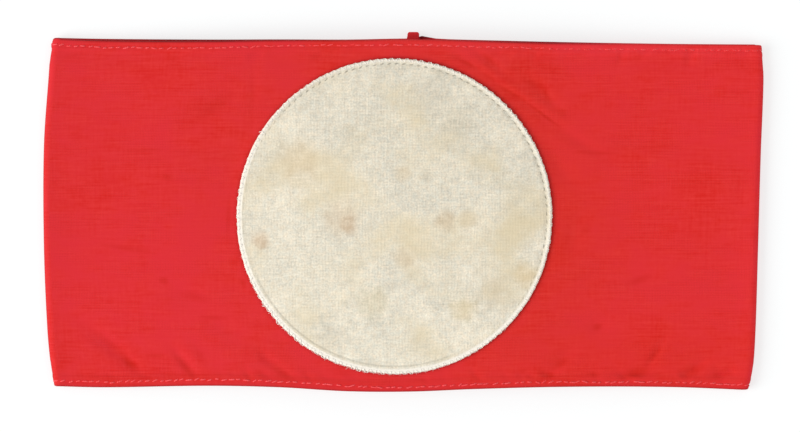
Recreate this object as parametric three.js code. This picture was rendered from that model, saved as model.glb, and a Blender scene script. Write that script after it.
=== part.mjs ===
// A cloth arm band with a round patch, lying flattened on its back layer.
// Millimetres. +X runs along the band, +Y across it, +Z up through the patch.
// The origin is the middle of the part's box, on the surface that the band lies on.
import * as THREE from "three";

// Driving dimensions
const WALL = 1.0; // cloth of the loop
const HEM_EXTRA = 0.6; // what the turned hem adds to the wall, on the inner side
const HEM_WIDTH = 4.6;
const HEM_STEP = 0.4; // over which the hem's inner edge steps down to the plain wall
const RIM_ROUND = 0.3; // how far the hem's edge draws in from both faces
const UPPER_EDGE = 49; // y of the upper long edge if it were straight
const LOWER_EDGE = -50; // y of the lower one
const FOLD_RADIUS = 1.9; // outer radius of the fold at each end
const ARCH = 5.0; // how far the front layer stands above the folds, at the middle
const ARCH_FLATNESS = 2.4; // a higher power keeps more of the front level
const ARCH_FOOT = 1.4; // a higher power makes a softer run into the folds

const PATCH_RADIUS = 45.1;
const PATCH_X = -2.8;
const PATCH_Y = -1.7;
const PATCH_WALL = 0.8;
const CLEARANCE = 0.3; // between pieces that are sewn together on the real band

const SEAM_X = 2.4;
const SEAM_WIDTH = 4.3;
const SEAM_THICKNESS = 1.0;
const SEAM_BEVEL = 0.5; // along its two upper edges
const SEAM_SLOPE = 1.5; // over which it comes down from a hem to the plain cloth
const SEAM_TOP = 51.0; // the seam's end stands past the upper hem
const SEAM_BOTTOM = -49.8;

// How finely the surfaces are divided
const FRONT_STEPS = 46;
const BACK_STEPS = 12;
const FOLD_STEPS = 6;
const PATCH_SECTORS = 60;
const MIDDLE_ROWS = 15;

// The long edges as they lie: y of the upper edge and of the lower edge at each x.
// peek is how far the back layer's upper edge shows beyond the front's.
const LONG_EDGES = [
  { x: -100, upper: 49.4, lower: -49.6, peek: 0.2 },
  { x: -85, upper: 49.1, lower: -49.9, peek: 0.6 },
  { x: -55, upper: 48.8, lower: -49.4, peek: 0.6 },
  { x: -35, upper: 48.8, lower: -49.8, peek: 0.4 },
  { x: -16, upper: 48.8, lower: -50.9, peek: 0.4 },
  { x: 2, upper: 49.2, lower: -51.0, peek: 0.5 },
  { x: 20, upper: 48.8, lower: -50.3, peek: 0.5 },
  { x: 45, upper: 48.2, lower: -49.7, peek: 0.5 },
  { x: 75, upper: 47.7, lower: -49.8, peek: 0.3 },
  { x: 100, upper: 47.5, lower: -50.8, peek: 0.2 },
];

// The folds at the two ends, seen from above: x of the outermost point at each y.
const END_FOLDS = [
  { y: -51, left: -99.0, right: 97.6 },
  { y: -45, left: -100.1, right: 99.0 },
  { y: -34, left: -101.2, right: 99.8 },
  { y: -10, left: -102.2, right: 100.6 },
  { y: 18, left: -102.3, right: 101.4 },
  { y: 38, left: -101.0, right: 102.3 },
  { y: 45, left: -100.2, right: 102.1 },
  { y: 50, left: -98.8, right: 101.6 },
];

// Drag folds and puckers of the front layer. turn is the ridge's direction in degrees from +X,
// and a negative height is a groove.
const PUCKERS = [
  { x: 24, y: 41, turn: -33, length: 14, width: 2.6, height: -0.35 },
  { x: 31, y: 39, turn: -36, length: 21, width: 2.8, height: 0.5 },
  { x: 36, y: 34, turn: -38, length: 23, width: 2.8, height: -0.5 },
  { x: 42, y: 32, turn: -40, length: 20, width: 3.0, height: 0.4 },
  { x: -82, y: -40, turn: -48, length: 13, width: 3.0, height: -0.45 },
  { x: -63, y: -43, turn: -60, length: 10, width: 2.8, height: 0.4 },
  { x: -35, y: -43, turn: -40, length: 11, width: 3.0, height: -0.4 },
  { x: 48, y: -42, turn: 48, length: 12, width: 3.0, height: 0.4 },
  { x: 66, y: -44, turn: 30, length: 11, width: 2.8, height: -0.5 },
  { x: 84, y: -42, turn: 45, length: 12, width: 3.0, height: 0.4 },
];

// The patch's section from its centre outwards: height of its upper face over its lower face.
const PATCH_PROFILE = [
  { r: 15, height: 1 },
  { r: 30, height: 1 },
  { r: PATCH_RADIUS - 2.2, height: 1 },
  { r: PATCH_RADIUS - 1.5, height: 0.9 },
  { r: PATCH_RADIUS - 1.0, height: 1.3 },
  { r: PATCH_RADIUS - 0.4, height: 1.2 },
  { r: PATCH_RADIUS, height: 0.6 },
];

// A smooth curve through one column of a table whose rows rise along another column.
function through(table, along, column, at) {
  const last = table.length - 1;
  const value = THREE.MathUtils.clamp(at, table[0][along], table[last][along]);
  let i = 0;
  while (i < last - 1 && value > table[i + 1][along]) i++;
  const slope = (k) => {
    const before = table[Math.max(k - 1, 0)];
    const after = table[Math.min(k + 1, last)];
    return (after[column] - before[column]) / (after[along] - before[along]);
  };
  const span = table[i + 1][along] - table[i][along];
  const t = (value - table[i][along]) / span;
  const ease = t * t * (3 - 2 * t);
  const [from, to] = [table[i][column], table[i + 1][column]];
  const lean = slope(i) * t * (1 - t) * (1 - t) - slope(i + 1) * t * t * (1 - t);
  return from + (to - from) * ease + lean * span;
}

// A bell curve, 1 at the middle and a third at 1.
const bell = (t) => Math.exp(-t * t);

// Height of the folds and puckers at a point of the front; the patch holds the cloth flat under it.
function puckerHeight(x, y) {
  const free = THREE.MathUtils.smoothstep(
    Math.hypot(x - PATCH_X, y - PATCH_Y),
    PATCH_RADIUS,
    PATCH_RADIUS + 4,
  );
  return PUCKERS.reduce((sum, fold) => {
    const turn = THREE.MathUtils.degToRad(fold.turn);
    const [dx, dy] = [x - fold.x, y - fold.y];
    const along = dx * Math.cos(turn) + dy * Math.sin(turn);
    const across = dy * Math.cos(turn) - dx * Math.sin(turn);
    const shape = bell((2 * along) / fold.length) * bell(across / fold.width);
    return sum + free * fold.height * shape;
  }, 0);
}

// Upper face of the front layer. share runs from -1 at the left fold to 1 at the right one.
function frontHeight(share, x, y) {
  const arch = (1 - Math.abs(share) ** ARCH_FLATNESS) ** ARCH_FOOT;
  return 2 * FOLD_RADIUS + ARCH * arch + puckerHeight(x, y);
}

// Where the two folds begin on the row at height y of the band.
function foldCentres(y) {
  return [
    through(END_FOLDS, "y", "left", y) + FOLD_RADIUS,
    through(END_FOLDS, "y", "right", y) - FOLD_RADIUS,
  ];
}

// The front's upper face at any x and y, for what is sewn onto it.
function frontFace(x, y) {
  const [left, right] = foldCentres(y);
  return frontHeight((2 * x - left - right) / (right - left), x, y);
}

// Rows across the band, from the lower long edge to the upper one. middle is a row's share of the
// way across, edge is added to its y, wall is the cloth's thickness there, and draw is how far
// the rounded rim draws in.
function bandRows() {
  const hem = WALL + HEM_EXTRA;
  const rim = [
    { edge: 0, wall: hem, draw: RIM_ROUND },
    { edge: 2 * RIM_ROUND, wall: hem, draw: 0 },
    { edge: HEM_WIDTH - HEM_STEP, wall: hem, draw: 0 },
    { edge: HEM_WIDTH, wall: WALL, draw: 0 },
  ];
  const lower = rim.map((row) => ({ ...row, middle: 0 }));
  const upper = rim.map((row) => ({ ...row, edge: -row.edge, middle: 1 })).reverse();
  const between = [];
  for (let i = 1; i < MIDDLE_ROWS; i++) {
    const middle = i / MIDDLE_ROWS;
    between.push({ edge: HEM_WIDTH * (1 - 2 * middle), wall: WALL, draw: 0, middle });
  }
  return [...lower, ...between, ...upper];
}

// Stations round the loop: along the front, round the right fold, back, and round the left fold.
function loopStations() {
  const stations = [];
  for (let i = 0; i < FRONT_STEPS; i++)
    stations.push({ layer: "front", share: -1 + (2 * i) / FRONT_STEPS });
  for (let i = 0; i < FOLD_STEPS; i++)
    stations.push({ layer: "right", turn: Math.PI * (0.5 - i / FOLD_STEPS) });
  for (let i = 0; i < BACK_STEPS; i++)
    stations.push({ layer: "back", share: 1 - (2 * i) / BACK_STEPS });
  for (let i = 0; i < FOLD_STEPS; i++)
    stations.push({ layer: "left", turn: -Math.PI * (0.5 + i / FOLD_STEPS) });
  return stations;
}

// y of a row at x. The back layer reaches a little further up than the front does.
function rowHeight(row, x, layer) {
  const lower = through(LONG_EDGES, "x", "lower", x);
  const peek = layer === "back" ? 0 : through(LONG_EDGES, "x", "peek", x);
  const upper = through(LONG_EDGES, "x", "upper", x) - peek;
  return THREE.MathUtils.lerp(lower, upper, row.middle) + row.edge;
}

// The outer and the inner point of the band's wall at one station of one row.
function wallPoints(row, station) {
  const straight = THREE.MathUtils.lerp(LOWER_EDGE, UPPER_EDGE, row.middle) + row.edge;
  const [left, right] = foldCentres(straight);
  const { layer } = station;
  const outer = new THREE.Vector3();
  const inward = new THREE.Vector3();
  if (layer === "left" || layer === "right") {
    const centre = layer === "left" ? left : right;
    inward.set(-Math.cos(station.turn), 0, -Math.sin(station.turn));
    outer.set(centre, 0, FOLD_RADIUS).addScaledVector(inward, -FOLD_RADIUS);
    outer.y = rowHeight(row, centre, Math.sin(station.turn) > 0 ? "front" : "back");
  } else {
    const x = THREE.MathUtils.lerp(left, right, (station.share + 1) / 2);
    const y = rowHeight(row, x, layer);
    const z = layer === "front" ? frontHeight(station.share, x, y) : 0;
    inward.set(0, 0, layer === "front" ? -1 : 1);
    outer.set(x, y, z);
  }
  const inner = outer.clone().addScaledVector(inward, row.wall - row.draw);
  return [outer.addScaledVector(inward, row.draw), inner];
}

// An indexed geometry that collects points and four-sided faces, split along one diagonal.
class Skin {
  constructor() {
    this.points = [];
    this.faces = [];
  }
  add(point) {
    return this.points.push(point) - 1;
  }
  quad(a, b, c, d) {
    this.faces.push(a, b, c, a, c, d);
  }
  geometry() {
    const geometry = new THREE.BufferGeometry().setFromPoints(this.points);
    geometry.setIndex(this.faces);
    geometry.computeVertexNormals();
    return geometry;
  }
}

// The closed loop: an outer and an inner skin that meet along both rims.
function bandGeometry() {
  const skin = new Skin();
  const stations = loopStations();
  const rings = bandRows().map((row) => {
    const pairs = stations.map((station) => wallPoints(row, station));
    return {
      outer: pairs.map(([outer]) => skin.add(outer)),
      inner: pairs.map(([, inner]) => skin.add(inner)),
    };
  });
  const last = rings.length - 1;
  stations.forEach((_, i) => {
    const j = (i + 1) % stations.length;
    for (let k = 0; k < last; k++) {
      const [below, above] = [rings[k], rings[k + 1]];
      skin.quad(below.outer[i], below.outer[j], above.outer[j], above.outer[i]);
      skin.quad(below.inner[j], below.inner[i], above.inner[i], above.inner[j]);
    }
    skin.quad(rings[0].inner[i], rings[0].inner[j], rings[0].outer[j], rings[0].outer[i]);
    const top = rings[last];
    skin.quad(top.outer[i], top.outer[j], top.inner[j], top.inner[i]);
  });
  return skin.geometry();
}

// The round patch: its lower face follows the front layer, its upper face the profile above that.
function patchGeometry() {
  const skin = new Skin();
  const onFront = (x, y, rise) => new THREE.Vector3(x, y, frontFace(x, y) + CLEARANCE + rise);
  const centre = [0, PATCH_WALL].map((rise) => skin.add(onFront(PATCH_X, PATCH_Y, rise)));
  const rings = PATCH_PROFILE.map(({ r, height }) => {
    const ring = { under: [], over: [] };
    for (let i = 0; i < PATCH_SECTORS; i++) {
      const turn = (2 * Math.PI * i) / PATCH_SECTORS;
      const [x, y] = [PATCH_X + r * Math.cos(turn), PATCH_Y + r * Math.sin(turn)];
      ring.under.push(skin.add(onFront(x, y, 0)));
      ring.over.push(skin.add(onFront(x, y, PATCH_WALL * height)));
    }
    return ring;
  });
  const rim = rings[rings.length - 1];
  for (let i = 0; i < PATCH_SECTORS; i++) {
    const j = (i + 1) % PATCH_SECTORS;
    skin.faces.push(centre[0], rings[0].under[j], rings[0].under[i]);
    skin.faces.push(centre[1], rings[0].over[i], rings[0].over[j]);
    for (let k = 1; k < rings.length; k++) {
      const [near, far] = [rings[k - 1], rings[k]];
      skin.quad(near.over[i], far.over[i], far.over[j], near.over[j]);
      skin.quad(near.under[i], near.under[j], far.under[j], far.under[i]);
    }
    skin.quad(rim.under[i], rim.under[j], rim.over[j], rim.over[i]);
  }
  return skin.geometry();
}

// The seam allowance: a flat strip on the back layer's inner face that steps up over both hems.
function seamGeometry() {
  const skin = new Skin();
  const half = SEAM_WIDTH / 2;
  const section = [
    { x: -half, z: 0 },
    { x: half, z: 0 },
    { x: half, z: SEAM_THICKNESS - SEAM_BEVEL },
    { x: half - SEAM_BEVEL, z: SEAM_THICKNESS },
    { x: -half + SEAM_BEVEL, z: SEAM_THICKNESS },
    { x: -half, z: SEAM_THICKNESS - SEAM_BEVEL },
  ];
  const upper = through(LONG_EDGES, "x", "upper", SEAM_X);
  const lower = through(LONG_EDGES, "x", "lower", SEAM_X);
  const hem = WALL + HEM_EXTRA + CLEARANCE;
  const plain = WALL + CLEARANCE;
  const course = [
    { y: SEAM_BOTTOM, z: hem },
    { y: lower + HEM_WIDTH, z: hem },
    { y: lower + HEM_WIDTH + SEAM_SLOPE, z: plain },
    { y: upper - HEM_WIDTH - SEAM_SLOPE, z: plain },
    { y: upper - HEM_WIDTH, z: hem },
    { y: SEAM_TOP, z: hem },
  ];
  const rings = course.map(({ y, z }) =>
    section.map((p) => skin.add(new THREE.Vector3(SEAM_X + p.x, y, z + p.z))),
  );
  const count = section.length;
  for (let k = 1; k < rings.length; k++)
    for (let i = 0; i < count; i++) {
      const j = (i + 1) % count;
      skin.quad(rings[k - 1][j], rings[k - 1][i], rings[k][i], rings[k][j]);
    }
  const [first, last] = [rings[0], rings[rings.length - 1]];
  for (let i = 1; i < count - 1; i++) {
    skin.faces.push(first[0], first[i], first[i + 1]);
    skin.faces.push(last[0], last[i + 1], last[i]);
  }
  return skin.geometry();
}

function cloth(name, geometry, color) {
  const material = new THREE.MeshStandardMaterial({ color, roughness: 0.9, metalness: 0 });
  const mesh = new THREE.Mesh(geometry, material);
  mesh.name = name;
  return mesh;
}

const armband = new THREE.Group();
armband.add(
  cloth("band", bandGeometry(), 0xdd3435),
  cloth("round_patch", patchGeometry(), 0xe1dac7),
  cloth("back_seam", seamGeometry(), 0xaa1e28),
);

export default armband;
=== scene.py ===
# %% [markdown]
# # A cloth arm band with a round patch
#
# The real thing is a strip of scarlet cotton, hemmed on both long edges, joined to a loop and
# pressed flat, with a round off-white cloth patch sewn on its front. The packed model gives its
# size and place. Here every piece of it is made again as sewn cloth and thread: the band, the
# hem stitches, the patch, the zigzag thread and the fringe round it, and the seam allowance. What
# was measured or chosen stands in short tables with named columns.

# %% Load the packed model
import math

import bpy
import numpy as np
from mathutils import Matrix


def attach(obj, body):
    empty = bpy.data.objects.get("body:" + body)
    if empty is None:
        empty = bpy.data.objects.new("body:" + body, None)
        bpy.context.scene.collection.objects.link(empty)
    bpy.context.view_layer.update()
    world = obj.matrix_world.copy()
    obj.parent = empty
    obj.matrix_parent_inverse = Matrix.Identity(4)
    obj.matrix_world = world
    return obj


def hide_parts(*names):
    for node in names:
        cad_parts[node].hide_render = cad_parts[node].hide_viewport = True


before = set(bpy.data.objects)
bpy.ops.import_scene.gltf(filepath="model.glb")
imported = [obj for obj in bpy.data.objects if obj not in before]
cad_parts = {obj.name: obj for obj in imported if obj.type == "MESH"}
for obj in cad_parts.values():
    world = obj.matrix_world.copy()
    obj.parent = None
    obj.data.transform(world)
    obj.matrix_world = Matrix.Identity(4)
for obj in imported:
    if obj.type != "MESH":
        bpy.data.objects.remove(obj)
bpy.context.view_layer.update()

MM = 0.001
chance = np.random.default_rng(11)


def table(columns, *rows):
    """Rows of values under named columns, as one dictionary for each row."""
    return [dict(zip(columns.split(), row)) for row in rows]


print("nodes:", sorted(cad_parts))

# %% [markdown]
# ## How the camera sees it
#
# The photograph looks straight down on the band. A long lens far above it gives nearly parallel
# rays, so the pixel size is the same over the whole cloth. The camera's middle is placed from the
# pixel where the band's own middle lies.

# %% Camera
FRAME_PIXELS = (800, 432)
ORIGIN_PIXEL = (403.5, 211.5)
PIXEL = 0.2845 * MM
CAMERA_HEIGHT = 1.6
SENSOR = 36.0

camera = bpy.data.objects.new("camera", bpy.data.cameras.new("camera"))
camera.data.sensor_width = SENSOR
camera.data.lens = SENSOR * CAMERA_HEIGHT / (FRAME_PIXELS[0] * PIXEL)
camera.data.clip_end = 20
camera.location = (
    (FRAME_PIXELS[0] / 2 - ORIGIN_PIXEL[0]) * PIXEL,
    (ORIGIN_PIXEL[1] - FRAME_PIXELS[1] / 2) * PIXEL,
    CAMERA_HEIGHT,
)
bpy.context.scene.collection.objects.link(camera)
bpy.context.scene.camera = camera
print(f"lens {camera.data.lens:.0f} mm, {CAMERA_HEIGHT} m above the cloth")

# %% [markdown]
# ## Light and floor
#
# The photograph has a white ground and a faint soft shadow above and to the right of the band. So
# one broad soft light stands at the left, a weaker one at the lower right, and an even white sky
# fills in. The floor is a sheet of pale opal glass with a little light of its own, as on a
# light table, which keeps the shadow faint. It lies a hair lower than the cloth, so that the two
# share no face. The plain colour transform keeps white white. turn and rise are in degrees, and
# power is in watts.

# %% Sky and soft light
SKY_STRENGTH = 0.625
SOFT_LIGHTS = table(
    "name turn rise power",
    ("soft_light_left", 194, 36, 82.5),
    ("soft_light_right", 325, 52, 9.0),
)
LIGHT_DISTANCE = 3.0
LIGHT_SIZE = 2.2

scene = bpy.context.scene
scene.view_settings.view_transform = "Standard"
scene.view_settings.look = "None"
scene.world = bpy.data.worlds.new("sky")
scene.world.use_nodes = True
sky = scene.world.node_tree.nodes["Background"]
sky.inputs["Color"].default_value = (1, 1, 1, 1)
sky.inputs["Strength"].default_value = SKY_STRENGTH

for row in SOFT_LIGHTS:
    light = bpy.data.objects.new(row["name"], bpy.data.lights.new(row["name"], "AREA"))
    light.data.energy = row["power"]
    light.data.size = LIGHT_SIZE
    turn, rise = math.radians(row["turn"]), math.radians(row["rise"])
    level = math.cos(rise)
    heading = np.array([level * math.cos(turn), level * math.sin(turn), math.sin(rise)])
    light.location = heading * LIGHT_DISTANCE
    light.rotation_euler = light.location.to_track_quat("Z", "Y").to_euler()
    scene.collection.objects.link(light)
print(len(SOFT_LIGHTS), "soft lights,", LIGHT_DISTANCE, "m away")

# %% Floor
FLOOR_SIDE, FLOOR_LEVEL = 6.0, -0.15 * MM
OPAL_GLASS = {
    "Base Color": (0.293, 0.30, 0.3015, 1),
    "Roughness": 0.9,
    "Specular IOR Level": 0.1,
    "Emission Color": (0.992, 1, 1, 1),
    "Emission Strength": 0.68,
}

half = FLOOR_SIDE / 2
floor_mesh = bpy.data.meshes.new("floor")
corners = ((-half, -half), (half, -half), (half, half), (-half, half))
floor_mesh.from_pydata([(x, y, FLOOR_LEVEL) for x, y in corners], [], [(0, 1, 2, 3)])
floor = bpy.data.objects.new("floor", floor_mesh)
opal_glass = bpy.data.materials.new("opal_glass")
opal_glass.use_nodes = True
glass_shader = opal_glass.node_tree.nodes["Principled BSDF"]
for name, value in OPAL_GLASS.items():
    glass_shader.inputs[name].default_value = value
floor_mesh.materials.append(opal_glass)
scene.collection.objects.link(floor)
print("floor:", FLOOR_SIDE, "m wide")

# %% [markdown]
# ## Writing materials as sums
#
# A cloth's finish is a formula over its surface: ribs are a sine across the band, stains are soft
# spots at their places. It could be wired by hand as a picture of nodes, but a long formula is
# easier to read, so shader maths is written as Python expressions. One small class wraps a socket,
# and adding or multiplying two of them adds the Math node that does it.

# %% A socket that can be calculated with
class Field:
    """A number that varies over a surface. Arithmetic on it adds Math nodes to its finish."""

    def __init__(self, finish, socket):
        self.finish = finish
        self.socket = socket

    def math(self, operation, *values):
        return self.finish.node("ShaderNodeMath", {"operation": operation}, dict(enumerate(values)))

    def __add__(self, other):
        return self.math("ADD", self, other)

    def __sub__(self, other):
        return self.math("SUBTRACT", self, other)

    def __rsub__(self, other):
        return self.math("SUBTRACT", other, self)

    def __mul__(self, other):
        return self.math("MULTIPLY", self, other)

    def __truediv__(self, other):
        return self.math("DIVIDE", self, other)

    __radd__ = __add__
    __rmul__ = __mul__

    def sine(self):
        return self.math("SINE", self)

    def root(self):
        return self.math("SQRT", self)

    def fraction(self):
        return self.math("FRACT", self)

    def turn_from(self, level):
        return self.math("ARCTAN2", self, level)

    def wave(self, pitch):
        """Sine with one full swing in each pitch."""
        return (self * (2 * math.pi / pitch)).sine()

    def ramp(self, low, high):
        """Smooth step: 0 below low, 1 above high, and an S-curve between."""
        sockets = {"Value": self, "From Min": low, "From Max": high}
        return self.finish.node("ShaderNodeMapRange", {"interpolation_type": "SMOOTHSTEP"}, sockets)


print("a field can", ", ".join(name for name in vars(Field) if name[0] != "_"))


# %% A finish: one material with its nodes
class Finish:
    """A Principled material. node() adds a node from its type, settings and socket values."""

    def __init__(self, name, roughness, sheen, gloss=0.25):
        self.material = bpy.data.materials.new(name)
        self.material.use_nodes = True
        self.tree = self.material.node_tree
        self.shader = self.tree.nodes["Principled BSDF"]
        plain = {"Roughness": roughness, "Specular IOR Level": gloss, "Sheen Weight": sheen}
        for socket, value in plain.items():
            self.shader.inputs[socket].default_value = value

    def node(self, kind, settings=None, sockets=None, output=0):
        made = self.tree.nodes.new(kind)
        for name, value in (settings or {}).items():
            setattr(made, name, value)
        for name, value in (sockets or {}).items():
            self.feed(made.inputs[name], value)
        return Field(self, made.outputs[output])

    def feed(self, socket, value):
        if isinstance(value, Field):
            self.tree.links.new(value.socket, socket)
        else:
            socket.default_value = value

    def noise(self, place, scale, detail=2.0, squeeze=None):
        """Cloudy noise from 0 to 1 with about `scale` clouds in each unit of place. Where squeeze
        is given, place is multiplied by it first, and the clouds are long where it is small."""
        if squeeze:
            settings = {"operation": "MULTIPLY"}
            place = self.node("ShaderNodeVectorMath", settings, {0: place, 1: squeeze})
        sockets = {"Vector": place, "Scale": scale, "Detail": detail}
        return self.node("ShaderNodeTexNoise", None, sockets, "Fac")

    def mix(self, share, colour, other, blend="MIX"):
        """Colour mixed with another by a share from 0 to 1."""
        settings = {"data_type": "RGBA", "blend_type": blend}
        return self.node("ShaderNodeMix", settings, {0: share, 6: colour, 7: other}, 2)

    def shaded(self, colour, amount):
        """A colour made lighter or darker by a factor that varies over the surface."""
        grey = self.node("ShaderNodeCombineColor", None, {0: amount, 1: amount, 2: amount})
        return self.mix(1.0, colour, grey, "MULTIPLY")

    def within(self, place, centre, turn, reach):
        """Distance from a centre on a turned ellipsoid's scale: 0 in its middle, 1 on its skin."""
        sockets = {"Vector": place, "Location": centre, "Rotation": (0, 0, turn), "Scale": reach}
        local = self.node("ShaderNodeMapping", {"vector_type": "TEXTURE"}, sockets)
        return self.node("ShaderNodeVectorMath", {"operation": "LENGTH"}, {0: local}, "Value")

    def attribute(self, name, output="Fac"):
        """A value that each point of the mesh carries."""
        return self.node("ShaderNodeAttribute", {"attribute_name": name}, output=output)

    def split(self, place):
        """The three coordinates of a place."""
        parts = self.node("ShaderNodeSeparateXYZ", None, {0: place}).socket.node
        return [Field(self, out) for out in parts.outputs]

    def finish(self, colour, height, depth):
        """Plug in the colour, and the height as a bump of that depth in metres."""
        sockets = {"Strength": 1.0, "Distance": depth, "Height": height}
        bump = self.node("ShaderNodeBump", None, sockets)
        self.feed(self.shader.inputs["Base Color"], colour)
        self.feed(self.shader.inputs["Normal"], bump)
        return self.material


print("a finish has", ", ".join(name for name in vars(Finish) if name[0] != "_"))

# %% [markdown]
# ## Scarlet cotton
#
# The band's cloth is a plain weave with thick threads along the band, which show as fine ribs,
# and thinner ones across. The UV map of each cloth piece is its real surface in millimetres, so
# the ribs keep their pitch round the folds. Every thread varies a little in thickness, which is
# noise stretched along it, and where it would catch more light it is painted paler in all three
# colours, which is a painted sheen. So the weave mixes a deep and a pale scarlet, for this sheen and
# for uneven dye, slow clouds add a trace of rose, as uneven dye does, and the band is painted a
# little paler towards the right, which is painted light. Each point also carries its share of
# painted shade and soil, and a tint. Fine creases, sharper than the mesh, are painted here as shade
# only: a crease lies deeper, so light that falls in bounces off scarlet walls, and it looks a
# darker and purer red. In the tables of creases and folds x, y, length and width are in
# millimetres and turn is in degrees. Here depth is how dark the painted shade of a crease is.

# %% Colours and fine creases of the scarlet cloth
RIB_PITCH = 0.74
CROSS_PITCH = 0.46
SCARLET = {
    "deep": (0.585, 0.0140, 0.0118, 1),
    "pale": (0.670, 0.0330, 0.0320, 1),
    "rose": (0.625, 0.0222, 0.0305, 1),
}
# Painted light: how much paler the cloth is painted for each metre to the right.
PAINTED_LIGHT_PER_METRE = 0.72
# A deep red for painted shade, with some soil, on rims, folds, the patch's edge and the seam's gap.
SHADE_AND_SOIL_RED = (0.160, 0.0035, 0.0060, 1)
# What the painted shade in a crease keeps of each colour.
CREASE_SHADE_COLOUR = (0.80, 0.50, 0.24, 1)
CREASE_LEVEL, CREASE_REACH = 6.0, 4.5
SCARLET_RELIEF = 0.05 * MM
# Fine creases that are only painted shade, with no relief.
CREASE_SHADES = table(
    "x y turn length width depth",
    ( 24.3,  43.1, -40,  8.0,  1.1, 0.85),
    ( 17.7,  42.0, -25,  7.0,  0.9,  1.0),
    ( 24.4,  37.9, -36,  6.0,  0.9, 0.55),
    ( 31.0,  33.2, -29, 14.0, 0.95,  0.8),
    ( 39.8,  27.2, -36, 14.5,  0.7, 0.85),
    ( 40.2,  33.4, -62,  8.5,  1.3,  0.6),
    ( 36.6,  36.2, -10,  8.0,  1.9,  0.4),
    ( 38.4,  25.6, -58,  9.0,  1.0,  0.2),
    ( 45.2,  27.9,   0,  3.6,  1.6, 0.45),
    ( 55.0,  16.6,  -1, 17.0,  0.8,  0.4),
    ( 51.5,  -5.2,  60,  5.0,  1.8,  0.4),
    (-53.2,  30.0,  33, 17.0,  2.6,  0.4),
    (-42.8,  34.2,  88, 12.5,  1.2, 0.15),
    (-25.2,  43.6,  20,  4.4,  1.6, 0.35),
    (-94.4,  44.1,   2,  8.0,  1.2,  0.3),
    (-73.6,  17.4,   2, 16.0,  0.9, 0.25),
    (-79.0, -10.4,  -9, 19.0,  1.0, 0.35),
    (-67.0,   9.7, -20,  3.4,  1.2,  0.4),
    (-68.0, -19.6, -20,  4.0,  1.3,  0.5),
    (-49.6,  -1.0,  88, 15.0,  0.9,  0.4),
    (-45.6, -20.2, -60,  3.6,  1.2,  0.6),
    (-58.7, -24.2, -15, 11.0,  1.8,  0.4),
    (-53.6, -30.1,  -3, 10.0,  0.8, 0.35),
    (-83.0, -37.6, -38, 15.0,  1.5,  0.5),
    (-77.6, -42.9, -40,  7.5,  1.5,  0.9),
    (-61.6, -44.2, -50,  9.5,  1.7,  0.5),
    (-35.2, -45.2, -32, 11.0,  1.4, 0.45),
    (-70.3, -40.9,  -3,  6.0,  0.7, 0.35),
    ( 65.9, -45.9,  16, 11.0,  1.8, 0.62),
    ( 71.4, -40.5,  45,  8.0,  1.2,  0.3),
    ( 82.4, -45.4,  30,  9.0,  1.5,  0.6),
    ( 90.6, -46.0,  18, 10.0,  1.5,  0.7),
    ( 41.6, -46.4,   5,  3.4,  1.2,  0.8),
    ( 44.3, -43.2,  32,  7.5,  1.4,  0.5),
    ( 55.0, -32.7,  20,  3.6,  1.3,  0.6),
    ( 66.7, -19.4,  17,  9.5,  1.5,  0.4),
    ( 33.7, -45.0,   0,  3.2,  1.2,  0.5),
    ( 53.6, -46.2,   0,  6.0,  1.0,  0.5),
)
print(len(CREASE_SHADES), "fine creases")

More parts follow.
